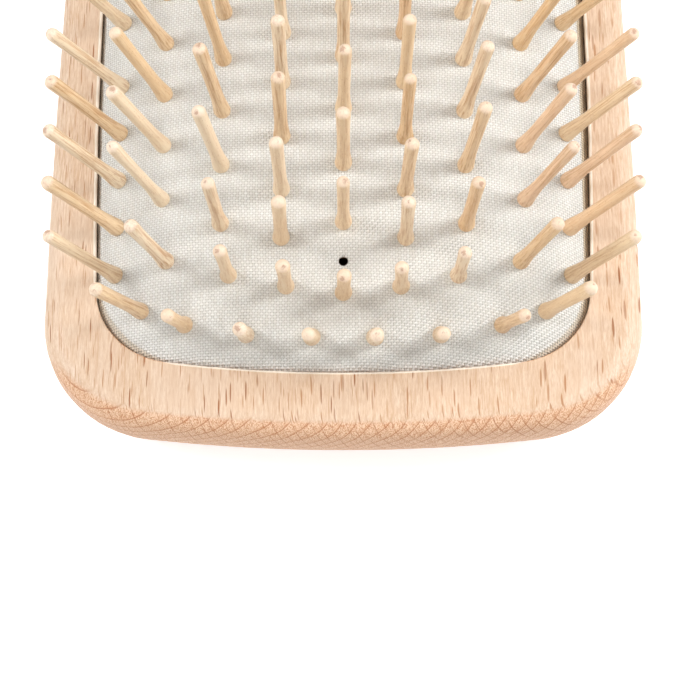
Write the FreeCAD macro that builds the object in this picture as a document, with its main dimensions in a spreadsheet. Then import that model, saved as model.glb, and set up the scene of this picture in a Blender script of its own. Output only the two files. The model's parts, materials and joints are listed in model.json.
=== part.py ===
"""Paddle brush: a one-piece beech head and handle, a canvas-covered rubber air cushion and turned wooden pins.

The brush lies on its back. +Z is the way the pins point, +Y runs from the free end of the head to the handle,
and the origin is at the centre of the overall outline, on the back face. Lengths are in millimetres.
"""
import FreeCAD, Part
import math
import os
import Sketcher

NEAR, FAR = -1, 1

SIZES = {
    # wooden body
    "overall_length": 240.0,
    "body_thickness": 13.0,
    "back_wall": 4.5,
    "side_rim": 6.2,
    "end_rim": 8.9,
    "head_side_bow": 2000.0,
    "head_widest_from_middle": 39.0,
    "head_end_bow": 218.0,
    "head_corner": 15.9,
    "shoulder_radius": 26.0,
    "neck_radius": 24.0,
    "neck_width": 21.6,
    "grip_width": 28.0,
    "grip_station": 0.332,
    "front_round": 2.8,
    "side_band": 0.6,
    "handle_front_round": 5.0,
    "handle_side_band": 1.0,
    "mouth_round": 0.3,
    # recess in the head
    "recess_width": 67.7,
    "recess_length": 96.1,
    "recess_corner": 11.0,
    "recess_side_bow": 863.0,
    "recess_end_bow": 179.0,
    "lip_thickness": 1.8,
    "groove_height": 2.6,
    "groove_reach": 3.0,
    # cushion
    "cushion_rise": 8.0,
    "cushion_edge_drop": 0.8,
    "cushion_fullness": 3.25,
    "cushion_clearance": 0.3,
    "fabric_thickness": 0.6,
    "glue_line": 0.1,
    "rubber_thickness": 2.0,
    "flange_thickness": 1.3,
    "flange_reach": 2.0,
    "adhesive_clearance": 0.05,
    "vent_diameter": 1.2,
    "vent_from_edge": 14.1,
    # pins
    "pin_length": 17.0,
    "pin_diameter": 1.8,
    "pin_tip_diameter": 1.94,
    "pin_root_diameter": 2.35,
    "pin_flare_length": 4.0,
    "pin_foot_diameter": 4.2,
    "pin_foot_thickness": 1.2,
    "pin_hole_clearance": 0.05,
    "pin_foot_clearance": 0.6,
    "pin_side_margin": 3.4,
    "pin_end_margin": 4.5,
    "end_row_bow": 3.85,
    "lean_gain": 0.98,
    "end_lean_gain": 1.05,
}

# Columns of pins, as shares of the half width of the pin field.
EDGE, OUTER, MIDDLE, INNER, CENTRE = 1.0, 0.80, 0.538, 0.272, 0.0

# Columns of the end row, which follows the end of the cushion and has no centre pin.
END_ROW = (0.137, 0.424, 0.692, 0.884)
END_ROW_POWER = 3.5

# Rows from the second to the middle one: column, and distance from the middle as a share of the half length.
ROWS = (
    ((CENTRE, 0.873), (0.251, 0.854), (0.501, 0.821), (0.775, 0.768), (EDGE, 0.784)),
    ((CENTRE, 0.658), (INNER, 0.707), (MIDDLE, 0.661), (EDGE, 0.623)),
    ((INNER, 0.553), (OUTER, 0.561)),
    ((CENTRE, 0.465), (MIDDLE, 0.467), (EDGE, 0.458)),
    ((INNER, 0.374), (OUTER, 0.371)),
    ((CENTRE, 0.276), (MIDDLE, 0.274), (EDGE, 0.289)),
    ((INNER, 0.180), (OUTER, 0.188)),
    ((CENTRE, 0.088), (MIDDLE, 0.086), (EDGE, 0.118)),
    ((INNER, 0.0), (OUTER, 0.0)),
)

# Heights at which the cushion's outline is drawn, as shares of its size in plan.
CROWN_STATIONS = (1.0, 0.965, 0.91, 0.82, 0.70, 0.55, 0.40, 0.25)
CONTOUR_POWER = 6.2

doc = FreeCAD.newDocument("paddle_brush")


def make_sheet():
    """Write every size once, in a spreadsheet with an alias for each cell."""
    sheet = doc.addObject("Spreadsheet::Sheet", "Sizes")
    for row, (alias, value) in enumerate(SIZES.items(), start=1):
        sheet.set(f"A{row}", alias)
        sheet.set(f"B{row}", str(value))
        sheet.setAlias(f"B{row}", alias)
    doc.recompute()
    return sheet


sheet = make_sheet()


def size(alias):
    return float(sheet.get(alias))


def vec(x, y, z=0.0):
    return FreeCAD.Vector(x, y, z)


# ---------------------------------------------------------------- plan outlines

def circles_meet(centre_a, radius_a, centre_b, radius_b, pick):
    """Return the meeting point of two circles that pick, a key function, ranks highest."""
    between = centre_b.sub(centre_a)
    gap = between.Length
    along = (gap ** 2 + radius_a ** 2 - radius_b ** 2) / (2 * gap)
    across = math.sqrt(radius_a ** 2 - along ** 2)
    unit = between.multiply(1 / gap)
    foot = centre_a + vec(unit.x, unit.y) * along
    normal = vec(-unit.y, unit.x)
    return max((foot + normal * across, foot - normal * across), key=pick)


def heading(centre, point):
    """Angle of point as seen from centre."""
    return math.atan2(point.y - centre.y, point.x - centre.x)


def recess_arcs(half_width, half_length, corner, side_bow, end_bow):
    """Right-hand half of the recess outline: (centre, radius, start, end) from the free end to the handle end."""
    side = vec(half_width - side_bow, 0)
    end = vec(0, half_length - end_bow)
    middle = circles_meet(side, side_bow - corner, end, end_bow - corner, lambda p: p.x + p.y)
    turn_side = heading(side, middle)
    turn_end = heading(end, middle)
    mirrored_end = vec(end.x, -end.y)
    mirrored_middle = vec(middle.x, -middle.y)
    return [
        (mirrored_end, end_bow, -math.pi / 2, -turn_end),
        (mirrored_middle, corner, -turn_end, -turn_side),
        (side, side_bow, -turn_side, turn_side),
        (middle, corner, turn_side, turn_end),
        (end, end_bow, turn_end, math.pi / 2),
    ]


def recess_wire(half_width, half_length, corner, side_bow, end_bow, height):
    """Closed outline at one height, eight arcs."""
    right = recess_arcs(half_width, half_length, corner, side_bow, end_bow)
    near_end, near_corner, side, far_corner, far_end = right
    full = [side, far_corner, (far_end[0], far_end[1], far_end[2], math.pi - far_end[2])]
    full += [mirror_arc(far_corner), mirror_arc(side), mirror_arc(near_corner)]
    full += [(near_end[0], near_end[1], -math.pi - near_end[3], near_end[3]), near_corner]
    return Part.Wire([arc_edge(*arc, height) for arc in full])


def arc_edge(centre, radius, start, end, height):
    circle = Part.Circle(vec(centre.x, centre.y, height), vec(0, 0, 1), radius)
    return Part.ArcOfCircle(circle, start, end).toShape()


def mirror_arc(arc):
    """The same arc on the other side of the Y axis."""
    centre, radius, start, end = arc
    return vec(-centre.x, centre.y), radius, math.pi - end, math.pi - start


def offset_wire(reach, height):
    """The recess outline moved outwards by reach."""
    return recess_wire(
        size("recess_width") / 2 + reach,
        size("recess_length") / 2 + reach,
        size("recess_corner") + reach,
        size("recess_side_bow") + reach,
        size("recess_end_bow") + reach,
        height,
    )


def slab(reach, low, high):
    """Prism of the offset recess outline between two heights."""
    return Part.Face(offset_wire(reach, low)).extrude(vec(0, 0, high - low))


def half_head_length():
    """From the pad's centre to the free end of the head."""
    return size("recess_length") / 2 + size("end_rim")


def body_arcs(head_inset, handle_inset):
    """Right-hand half of the body outline, drawn in by two insets, as (centre, radius, start, end)."""
    side_bow, end_bow, corner = size("head_side_bow"), size("head_end_bow"), size("head_corner")
    shoulder, neck = size("shoulder_radius"), size("neck_radius")
    half_head = half_head_length()
    tail = size("overall_length") - half_head
    widest = size("head_widest_from_middle")
    side = vec(size("recess_width") / 2 + size("side_rim") - side_bow, -widest)
    end = vec(0, end_bow - half_head)
    middle = circles_meet(side, side_bow - corner, end, end_bow - corner, lambda p: p.x - p.y)
    shoulder_rise = half_head - shoulder
    shoulder_run = math.sqrt((side_bow - shoulder) ** 2 - (shoulder_rise + widest) ** 2)
    shoulder_centre = vec(side.x + shoulder_run, shoulder_rise)
    grip_rise = tail - (tail - shoulder_rise) * size("grip_station")
    grip_bow = grip_side_bow(shoulder_centre, grip_rise)
    grip = vec(size("grip_width") / 2 - grip_bow, grip_rise)
    shoulder_reach = shoulder + neck + handle_inset - head_inset
    neck_centre = circles_meet(shoulder_centre, shoulder_reach, grip, grip_bow + neck, lambda p: p.x)
    butt_radius = butt_round(grip, grip_bow, tail)
    butt = vec(0, tail - butt_radius)
    to_neck = heading(shoulder_centre, neck_centre)
    return [
        (end, end_bow - head_inset, -math.pi / 2, heading(end, middle)),
        (middle, corner - head_inset, heading(end, middle), heading(side, middle)),
        (side, side_bow - head_inset, heading(side, middle), heading(side, shoulder_centre)),
        (shoulder_centre, shoulder - head_inset, heading(side, shoulder_centre), to_neck),
        (neck_centre, neck + handle_inset, to_neck + math.pi, math.pi + heading(grip, neck_centre)),
        (grip, grip_bow - handle_inset, heading(grip, neck_centre), heading(grip, butt)),
        (butt, butt_radius - handle_inset, heading(grip, butt), math.pi / 2),
    ]


def grip_side_bow(shoulder_centre, grip_rise):
    """Radius of the grip's side, from its full width to where it runs into the neck."""
    neck = size("neck_radius")
    half_neck, half_grip = size("neck_width") / 2, size("grip_width") / 2
    reach_x = half_neck + neck - shoulder_centre.x
    neck_rise = shoulder_centre.y + math.sqrt((size("shoulder_radius") + neck) ** 2 - reach_x ** 2)
    run = grip_rise - neck_rise
    across = half_neck + neck - half_grip
    return (across ** 2 + run ** 2 - neck ** 2) / (2 * (half_grip - half_neck))


def butt_round(grip, grip_bow, tail):
    """Radius of the round centred on the Y axis that ends at tail and runs into the grip's side."""
    rise = tail - grip.y
    return (grip_bow ** 2 - grip.x ** 2 - rise ** 2) / (2 * (grip_bow - rise))


def body_wire(head_inset, handle_inset, height):
    """Closed outline of the body at one height."""
    right = body_arcs(head_inset, handle_inset)
    left = [mirror_arc(arc) for arc in reversed(right)]
    edges = []
    for centre, radius, start, end in right + left:
        edges.append(arc_edge(centre, radius, min(start, end), max(start, end), height))
    return Part.Wire(edges)


# ---------------------------------------------------------------- wooden body

def origin_plane(body, role):
    return next(feature for feature in body.Origin.OriginFeatures if feature.Role == role)


def add_sketch(body, name, height):
    """Sketch on the body's XY plane, lifted to a height given as a formula of the sheet's values."""
    sketch = body.newObject("Sketcher::SketchObject", name)
    sketch.AttachmentSupport = [(origin_plane(body, "XY_Plane"), "")]
    sketch.MapMode = "FlatFace"
    sketch.setExpression("AttachmentOffset.Base.z", height)
    return sketch


def bind(sketch, constraint, formula):
    """Add a constraint with a value and tie it to a formula of the sheet's values."""
    index = sketch.addConstraint(constraint)
    sketch.setExpression(f"Constraints[{index}]", formula)


def draw_half(sketch, arcs):
    """Draw a chain of tangent arcs from the Y axis round to the Y axis, and close it along the axis."""
    ids = []
    for centre, radius, start, end in arcs:
        circle = Part.Circle(centre, vec(0, 0, 1), radius)
        ids.append(sketch.addGeometry(Part.ArcOfCircle(circle, start, end), False))
    for first, second in zip(ids, ids[1:]):
        sketch.addConstraint(Sketcher.Constraint("Tangent", first, 2, second, 1))
    first = sketch.getPoint(ids[0], 1)
    last = sketch.getPoint(ids[-1], 2)
    axis = sketch.addGeometry(Part.LineSegment(last, first), False)
    sketch.addConstraint(Sketcher.Constraint("Coincident", ids[-1], 2, axis, 1))
    sketch.addConstraint(Sketcher.Constraint("Coincident", axis, 2, ids[0], 1))
    for arc_id, ends in ((ids[0], (1, 3)), (ids[-1], (2, 3))):
        for point in ends:
            sketch.addConstraint(Sketcher.Constraint("PointOnObject", arc_id, point, -2))
    return ids


def bind_radius(sketch, arc_id, formula, value):
    bind(sketch, Sketcher.Constraint("Radius", arc_id, value), formula)


def bind_place(sketch, axis, geo_id, point, formula, value):
    """Tie a point's X or Y to a formula."""
    bind(sketch, Sketcher.Constraint(f"Distance{axis}", -1, 1, geo_id, point, value), formula)


def draw_recess_outline(sketch, reach):
    """Recess outline grown by reach, the name of a size or None."""
    grow = f" + Sizes.{reach}" if reach else ""
    extra = size(reach) if reach else 0.0
    values = (size("recess_width") / 2 + extra, size("recess_length") / 2 + extra, size("recess_corner") + extra,
              size("recess_side_bow") + extra, size("recess_end_bow") + extra)
    arcs = recess_arcs(*values)
    ids = draw_half(sketch, arcs)
    near_end, near_corner, side, far_corner, far_end = ids
    for arc_id, alias, arc in ((near_end, "recess_end_bow", arcs[0]), (near_corner, "recess_corner", arcs[1]),
                               (side, "recess_side_bow", arcs[2]), (far_corner, "recess_corner", arcs[3]),
                               (far_end, "recess_end_bow", arcs[4])):
        bind_radius(sketch, arc_id, f"Sizes.{alias}{grow}", arc[1])
    half_length = f"(Sizes.recess_length / 2{grow})"
    bind_place(sketch, "Y", near_end, 1, f"-{half_length}", -values[1])
    bind_place(sketch, "Y", far_end, 2, half_length, values[1])
    bind_place(sketch, "X", side, 3, "Sizes.recess_width / 2 - Sizes.recess_side_bow", arcs[2][0].x)
    sketch.addConstraint(Sketcher.Constraint("PointOnObject", side, 3, -1))


def add_pocket(body, name, sketch, length):
    """Pocket downwards from a sketch."""
    pocket = body.newObject("PartDesign::Pocket", name)
    pocket.Profile = sketch
    pocket.setExpression("Length", length)
    return pocket


def edges_at(shape, height, keep):
    """Numbers of the edges that lie at one height and for which keep is true."""
    numbers = []
    for number, edge in enumerate(shape.Edges, start=1):
        box = edge.BoundBox
        flat = abs(box.ZMin - height) < 1e-4 and abs(box.ZMax - height) < 1e-4
        if flat and keep(edge):
            numbers.append(number)
    return numbers


def is_mouth(edge):
    """True for an edge of the recess, false for one of the outer outline."""
    middle = edge.valueAt((edge.FirstParameter + edge.LastParameter) / 2)
    half_way = Part.Face(offset_wire(size("side_rim") / 2, middle.z))
    return half_way.isInside(middle, 0.01, True)


def back_round(front, band):
    """Radius of the back rounding, which takes what the front rounding and the band between leave."""
    return size("body_thickness") - front - band


def rounding_inset(height, back, front):
    """How far the outline is drawn in at one height, between a back and a front rounding."""
    up = back - height
    down = front - (size("body_thickness") - height)
    if up > 0:
        return back - math.sqrt(back ** 2 - up ** 2)
    if down > 0:
        return front - math.sqrt(front ** 2 - down ** 2)
    return 0.0


def rounding_heights():
    """Heights of the body's outlines, closest together where the roundings curve most."""
    thickness = size("body_thickness")
    back = back_round(size("front_round"), size("side_band"))
    front = size("handle_front_round")
    turns = [math.radians(angle) for angle in (0, 12, 24, 38, 54, 72)]
    low = [back * (1 - math.cos(turn)) for turn in turns]
    high = [thickness - front * (1 - math.cos(turn)) for turn in reversed(turns)]
    middle = (low[-1] + high[0]) / 2
    return low + [middle] + high


def make_blank():
    """The board with its edges rounded, more on the handle's front than on the head's."""
    head_front, handle_front = size("front_round"), size("handle_front_round")
    head_back = back_round(head_front, size("side_band"))
    handle_back = back_round(handle_front, size("handle_side_band"))
    sections = []
    for height in rounding_heights():
        head = rounding_inset(height, head_back, head_front)
        handle = rounding_inset(height, handle_back, handle_front)
        sections.append(body_wire(head, handle, height))
    return add_feature("rounded_board", Part.makeLoft(sections, True, False))


def make_wooden_body():
    """Head and handle from one board: rounded outline, recess with an undercut groove, softened mouth."""
    body = doc.addObject("PartDesign::Body", "wooden_body")
    body.BaseFeature = make_blank()
    doc.recompute()
    mouth = add_sketch(body, "recess_outline", "Sizes.body_thickness")
    draw_recess_outline(mouth, None)
    recess = add_pocket(body, "recess", mouth, "Sizes.body_thickness - Sizes.back_wall")
    undercut = add_sketch(body, "groove_outline", "Sizes.body_thickness - Sizes.lip_thickness")
    draw_recess_outline(undercut, "groove_reach")
    groove = add_pocket(body, "groove", undercut, "Sizes.groove_height")
    mirror = body.newObject("PartDesign::Mirrored", "other_half")
    mirror.Originals = [recess, groove]
    mirror.MirrorPlane = (origin_plane(body, "YZ_Plane"), [""])
    body.Tip = mirror
    doc.recompute()
    edge_break = body.newObject("PartDesign::Fillet", "mouth_rounding")
    mouth_edges = edges_at(mirror.Shape, size("body_thickness"), is_mouth)
    edge_break.Base = (mirror, [f"Edge{number}" for number in mouth_edges])
    edge_break.setExpression("Radius", "Sizes.mouth_round")
    body.Tip = edge_break
    return body


# ---------------------------------------------------------------- cushion

def rim_top():
    return size("body_thickness")


def crown_height(share):
    """Height of the canvas where its contour is share of the full outline."""
    edge = rim_top() - size("cushion_edge_drop")
    return edge + size("cushion_rise") * (1 - share ** size("cushion_fullness"))


def crown_slope(share, half):
    """Fall of the canvas per millimetre outwards, in the direction where the outline's half size is half."""
    power = size("cushion_fullness")
    return size("cushion_rise") * power * share ** (power - 1) / half


def canvas_half_sizes():
    gap = size("cushion_clearance")
    return size("recess_width") / 2 - gap, size("recess_length") / 2 - gap


def crown_section(share, depth):
    """Outline of the surface that lies depth under the canvas's face, at one station."""
    half_width, half_length = canvas_half_sizes()
    gap = size("cushion_clearance")
    slope_x = crown_slope(share, half_width)
    slope_y = crown_slope(share, half_length)
    mean_slope = (slope_x + slope_y) / 2
    height = crown_height(share) - depth / math.hypot(1, mean_slope)
    in_x = depth * slope_x / math.hypot(1, slope_x)
    in_y = depth * slope_y / math.hypot(1, slope_y)
    corner = (size("recess_corner") - gap) * share
    tighter = (half_width * share - in_x) / (half_width * share)
    return recess_wire(
        half_width * share - in_x,
        half_length * share - in_y,
        corner * tighter,
        (size("recess_side_bow") - gap) * share,
        (size("recess_end_bow") - gap) * share,
        height,
    )


def crown_solid(depth, floor):
    """Everything under the surface that lies depth below the canvas's face, down to floor."""
    sections = [crown_section(share, depth) for share in CROWN_STATIONS]
    crown = Part.makeLoft(sections, True, False)
    base = Part.Face(sections[0])
    skirt = base.extrude(vec(0, 0, floor - base.CenterOfMass.z))
    return crown.fuse(skirt).removeSplitter()


def canvas_point(x, y):
    """Point on the canvas's face above x and y, in the pad's own frame."""
    half_width, half_length = canvas_half_sizes()
    share = ((abs(x) / half_width) ** CONTOUR_POWER + (abs(y) / half_length) ** CONTOUR_POWER) ** (1 / CONTOUR_POWER)
    return vec(x, y, crown_height(share))


def pin_direction(x, y):
    """Direction of a pin: square to the canvas, leaning out a little more."""
    step = 0.05
    fall_x = (canvas_point(x + step, y).z - canvas_point(x - step, y).z) / (2 * step)
    fall_y = (canvas_point(x, y + step).z - canvas_point(x, y - step).z) / (2 * step)
    return vec(-size("lean_gain") * fall_x, -size("end_lean_gain") * fall_y, 1).normalize()


def pin_places():
    """Rows of pin feet in plan, from the free end to the handle end."""
    half_field = size("recess_width") / 2 - size("pin_side_margin")
    half_run = size("recess_length") / 2 - size("pin_end_margin")
    bow = size("end_row_bow")
    end_row = [(share * half_field, half_run - bow * (share / END_ROW[-1]) ** END_ROW_POWER) for share in END_ROW]
    quarter = [end_row] + [[(column * half_field, along * half_run) for column, along in row] for row in ROWS]
    near = [both_sides(row, NEAR) for row in quarter]
    far = [both_sides(row, FAR) for row in reversed(quarter[:-1])]
    return near + far


def both_sides(row, end):
    """A row's pins on both sides of the Y axis, at one end of the pad, from -X to +X."""
    left = [(-x, end * y) for x, y in row if x > 0]
    right = [(x, end * y) for x, y in row]
    return sorted(left + right)


PIN_PLACES = pin_places()


def shell_thickness():
    return size("fabric_thickness") + size("glue_line") + size("rubber_thickness")


def pin_hole(x, y, radius):
    """Cutter for one hole through canvas and rubber, square to the canvas like its pin."""
    reach = 2.0
    axis = pin_direction(x, y)
    start = canvas_point(x, y) - axis * (shell_thickness() + reach)
    return Part.makeCylinder(radius, shell_thickness() + 2 * reach, start, axis)


def hole_cutters():
    radius = size("pin_root_diameter") / 2 + size("pin_hole_clearance")
    cutters = [pin_hole(x, y, radius) for row in PIN_PLACES for x, y in row]
    vent_y = size("vent_from_edge") - size("recess_length") / 2
    cutters.append(pin_hole(0, vent_y, size("vent_diameter") / 2))
    return cutters


def flange_level():
    """Top of the canvas where it lies in the groove."""
    return rim_top() - size("lip_thickness") - size("cushion_clearance")


def make_fabric_cover(cutters):
    """Canvas over the cushion, turned out into the groove."""
    bottom = flange_level() - size("fabric_thickness")
    below = bottom - 1.0
    outer = crown_solid(0.0, bottom)
    lip = slab(size("flange_reach"), bottom, flange_level())
    inner = crown_solid(size("fabric_thickness"), below)
    return add_feature("fabric_cover", outer.fuse(lip).cut(inner).cut(cutters))


def make_rubber_cushion(cutters):
    """Domed rubber pad with the flange that holds it in the groove."""
    top = flange_level() - size("fabric_thickness") - size("glue_line")
    bottom = top - size("flange_thickness")
    below = bottom - 1.0
    depth = size("fabric_thickness") + size("glue_line")
    outer = crown_solid(depth, bottom)
    flange = slab(size("flange_reach"), bottom, top)
    inner = crown_solid(shell_thickness(), below)
    return add_feature("rubber_cushion", outer.fuse(flange).cut(inner).cut(cutters))


def make_adhesive():
    """Bead of glue between the flange's edge and the bottom of the groove."""
    gap = size("adhesive_clearance")
    high = rim_top() - size("lip_thickness") - gap
    low = rim_top() - size("lip_thickness") - size("groove_height") + gap
    outer = slab(size("groove_reach") - gap, low, high)
    inner = slab(size("flange_reach") + size("cushion_clearance"), low, high)
    return add_feature("cushion_adhesive", outer.cut(inner))


# ---------------------------------------------------------------- pins

def make_pin_master():
    """One turned pin, foot to tip, along +Z with the canvas's face at zero."""
    body = doc.addObject("PartDesign::Body", "turned_pin")
    sketch = body.newObject("Sketcher::SketchObject", "pin_profile")
    sketch.AttachmentSupport = [(origin_plane(body, "XZ_Plane"), "")]
    sketch.MapMode = "FlatFace"
    root, shaft, tip = "Sizes.pin_root_diameter / 2", "Sizes.pin_diameter / 2", "Sizes.pin_tip_diameter / 2"
    shell = "(Sizes.fabric_thickness + Sizes.glue_line + Sizes.rubber_thickness)"
    foot_top = f"-({shell} + Sizes.pin_foot_clearance)"
    foot_low = f"{foot_top} - Sizes.pin_foot_thickness"
    shoulder = f"Sizes.pin_length - {tip}"
    corners = (
        ("Sizes.pin_foot_diameter / 2", foot_low),
        ("Sizes.pin_foot_diameter / 2", foot_top),
        (root, foot_top),
        (root, "0"),
        (shaft, "Sizes.pin_flare_length"),
        (shaft, f"{shoulder} - Sizes.pin_diameter"),
        (tip, shoulder),
    )
    points = [vec(value_of(x), value_of(y)) for x, y in corners]
    axis_low = vec(0, points[0].y)
    ids = [sketch.addGeometry(Part.LineSegment(axis_low, points[0]), False)]
    for first, second in zip(points, points[1:]):
        ids.append(sketch.addGeometry(Part.LineSegment(first, second), False))
    radius = size("pin_tip_diameter") / 2
    circle = Part.Circle(vec(0, points[-1].y), vec(0, 0, 1), radius)
    cap = sketch.addGeometry(Part.ArcOfCircle(circle, 0, math.pi / 2), False)
    crown = vec(0, points[-1].y + radius)
    axis = sketch.addGeometry(Part.LineSegment(crown, axis_low), False)
    for first, second in zip(ids, ids[1:]):
        sketch.addConstraint(Sketcher.Constraint("Coincident", first, 2, second, 1))
    sketch.addConstraint(Sketcher.Constraint("Coincident", ids[-1], 2, cap, 1))
    sketch.addConstraint(Sketcher.Constraint("Coincident", cap, 2, axis, 1))
    sketch.addConstraint(Sketcher.Constraint("Coincident", axis, 2, ids[0], 1))
    sketch.addConstraint(Sketcher.Constraint("PointOnObject", ids[0], 1, -2))
    sketch.addConstraint(Sketcher.Constraint("PointOnObject", cap, 2, -2))
    sketch.addConstraint(Sketcher.Constraint("PointOnObject", cap, 3, -2))
    sketch.addConstraint(Sketcher.Constraint("Horizontal", ids[0]))
    for line, (x, y), point in zip(ids, corners, points):
        bind_place(sketch, "X", line, 2, x, point.x)
        if line == ids[0] or y == "0":
            continue
        bind_place(sketch, "Y", line, 2, y, point.y)
    bind_place(sketch, "Y", ids[0], 2, foot_low, points[0].y)
    sketch.addConstraint(Sketcher.Constraint("PointOnObject", ids[3], 2, -1))
    sketch.addConstraint(Sketcher.Constraint("Horizontal", cap, 3, cap, 1))
    turned = body.newObject("PartDesign::Revolution", "turned")
    turned.Profile = sketch
    turned.ReferenceAxis = (sketch, ["V_Axis"])
    turned.Angle = 360
    body.Tip = turned
    doc.recompute()
    return body


def value_of(formula):
    """Value of one of the pin profile's formulas."""
    return float(doc.getObject("Sizes").evalExpression(formula))


def make_pin_row(number, row, master):
    """A row of pins, each a solid of its own."""
    pins = []
    for x, y in row:
        axis = pin_direction(x, y)
        turn = FreeCAD.Rotation(vec(0, 0, 1), axis)
        pin = master.Shape.copy()
        pin.Placement = FreeCAD.Placement(canvas_point(x, y), turn)
        pins.append(pin)
    return add_feature(f"pin_row_{number:02d}", Part.makeCompound(pins))


# ---------------------------------------------------------------- assembly

def add_feature(name, shape):
    feature = doc.addObject("Part::Feature", name)
    feature.Shape = shape
    return feature


def place_parts(parts):
    """Move each part from the pad's frame to the brush's: the outline's centre at the origin."""
    shift = vec(0, half_head_length() - size("overall_length") / 2, 0)
    for part in parts:
        part.Placement = FreeCAD.Placement(shift, FreeCAD.Rotation())


def check(parts):
    for item in doc.Objects:
        faults = [state for state in item.State if state in ("Invalid", "Error")]
        if faults:
            raise RuntimeError(f"{item.Name}: {faults}")
    for part in parts:
        if part.Shape.isNull() or not part.Shape.isValid():
            raise RuntimeError(f"{part.Label}: its shape isn't valid")
        if not part.Shape.Solids:
            raise RuntimeError(f"{part.Label}: it has no solid")


def write(parts):
    os.makedirs("parts", exist_ok=True)
    for part in parts:
        part.Shape.exportStep(f"parts/{part.Label}.step")
        solids = len(part.Shape.Solids)
        print(f"{part.Label}: {solids} solid(s), {len(part.Shape.Faces)} faces, {part.Shape.Volume:.1f} mm3")


def main():
    cutters = hole_cutters()
    parts = [make_wooden_body(), make_rubber_cushion(cutters), make_fabric_cover(cutters), make_adhesive()]
    master = make_pin_master()
    for number, row in enumerate(PIN_PLACES, start=1):
        parts.append(make_pin_row(number, row, master))
    place_parts(parts)
    doc.recompute()
    check(parts)
    write(parts)


main()
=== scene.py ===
"""Looks of the paddle brush: canvas dome, turned pins, beech board, studio.

Lengths here are in millimetres, and MM turns them into metres; the studio's are in metres.
"""
import json
import math

import bmesh
import bpy
import numpy as np
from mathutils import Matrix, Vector

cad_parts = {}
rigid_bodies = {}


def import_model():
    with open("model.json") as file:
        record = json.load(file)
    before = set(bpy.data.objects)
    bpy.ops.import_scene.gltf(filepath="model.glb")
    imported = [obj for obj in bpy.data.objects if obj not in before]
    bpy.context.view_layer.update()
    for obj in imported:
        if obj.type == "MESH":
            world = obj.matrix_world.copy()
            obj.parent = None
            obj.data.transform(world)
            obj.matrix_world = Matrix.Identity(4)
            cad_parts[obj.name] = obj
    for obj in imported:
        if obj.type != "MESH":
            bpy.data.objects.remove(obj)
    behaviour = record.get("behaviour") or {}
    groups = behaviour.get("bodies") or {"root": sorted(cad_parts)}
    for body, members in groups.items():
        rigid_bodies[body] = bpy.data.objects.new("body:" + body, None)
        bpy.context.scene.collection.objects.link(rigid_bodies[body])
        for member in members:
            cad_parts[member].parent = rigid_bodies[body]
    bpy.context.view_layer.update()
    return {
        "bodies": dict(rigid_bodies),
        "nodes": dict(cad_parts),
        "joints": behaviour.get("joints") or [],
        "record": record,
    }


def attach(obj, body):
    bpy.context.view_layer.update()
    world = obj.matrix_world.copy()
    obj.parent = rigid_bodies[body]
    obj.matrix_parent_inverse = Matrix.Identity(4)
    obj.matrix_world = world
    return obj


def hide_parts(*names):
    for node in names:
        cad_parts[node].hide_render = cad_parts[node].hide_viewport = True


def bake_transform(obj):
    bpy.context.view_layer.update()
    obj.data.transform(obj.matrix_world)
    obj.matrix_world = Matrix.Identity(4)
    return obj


MM = 0.001
SEED = 11

# The pad and the cushion, as the CAD has them.
PAD_Y = -63.05
PAD_HALF = (33.73, 47.93)
PAD_CORNER = 10.88
PAD_BOWS = (862.9, 178.9)
MOUTH_GAP = 0.12
CROWN_EDGE = 12.2
CROWN_RISE = 8.0
CROWN_FULLNESS = 3.25
CROWN_POWER = 6.2
FLANGE_TOP = 10.9
FLANGE_REACH = 1.9
CANVAS_THICK = 0.55
RUBBER_THICK = 2.0
VENT = (0.0, -33.95)
VENT_RADIUS = 0.64
VENT_UNDER = 0.5

# The canvas. The edge's three numbers are for the ends, added on the right, and added on the left.
GRID = (91, 129)
EDGE_BAND = (0.016, 0.020, -0.003)
EDGE_DEPTH = (0.45, 0.15, -0.1)
EDGE_CURVE = 1.4
HELD_SHARE = 0.985
HELD_ROUND_PIN = 1.35
SWELL_CAP = 0.42
SAG = 0.28
SAG_REACH = 1.9
RUBBER_GAP = 0.15
SKIRT_REACHES = (0.7, 1.4, FLANGE_REACH)
CLOTH_FRAMES = 20
CLOTH = {
    "quality": 6,
    "mass": 0.2,
    "tension_stiffness": 12,
    "compression_stiffness": 12,
    "shear_stiffness": 6,
    "bending_stiffness": 0.4,
    "vertex_group_mass": "held",
    "use_pressure": True,
    "uniform_pressure_force": 45.0,
}
THREAD_PITCH = 0.36

# The beech: where the pith is in X and Z, and the radius at which angles about it are measured as lengths.
PITH = (-58.0, 96.0)
RAY_REACH = 104.0
RING_PITCH = 1.25
RAY_PITCH = 1.1

# One pin.
PIN_FOOT_LOW = -4.5
PIN_LENGTH = 17.0
PIN_STEM = 0.885
PIN_BELL = 1.21
PIN_BELL_TOP = 4.2
PIN_BELL_CURVE = 1.35
PIN_TAPER_FROM = 9.0
PIN_TAPER_OVER = 6.5
PIN_TIP = 0.97
PIN_SIDES = 22
PIN_TILT = (1.1, 2.4)

# The studio.
CAMERA_LENS = 155.1
CAMERA_PLACE = (-0.00052, -0.27776, 0.3614)
CAMERA_DOWN = 63.8
WORLD_LIGHT = 0.24
WORLD_SEEN = 1.0
FLOOR_GLOW = 0.64
LAMPS = (
    ("overhead", (0.0, -0.10, 0.80), (0.0, -0.06, 0.0), 0.60, 0.85),
    ("front_soft", (0.0, -0.56, 0.42), (0.0, -0.10, 0.01), 0.30, 1.00),
    ("left_soft", (-0.40, -0.06, 0.36), (-0.005, -0.06, 0.015), 0.20, 1.70),
    ("right_soft", (0.42, -0.02, 0.32), (0.005, -0.06, 0.015), 0.20, 2.30),
)


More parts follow.
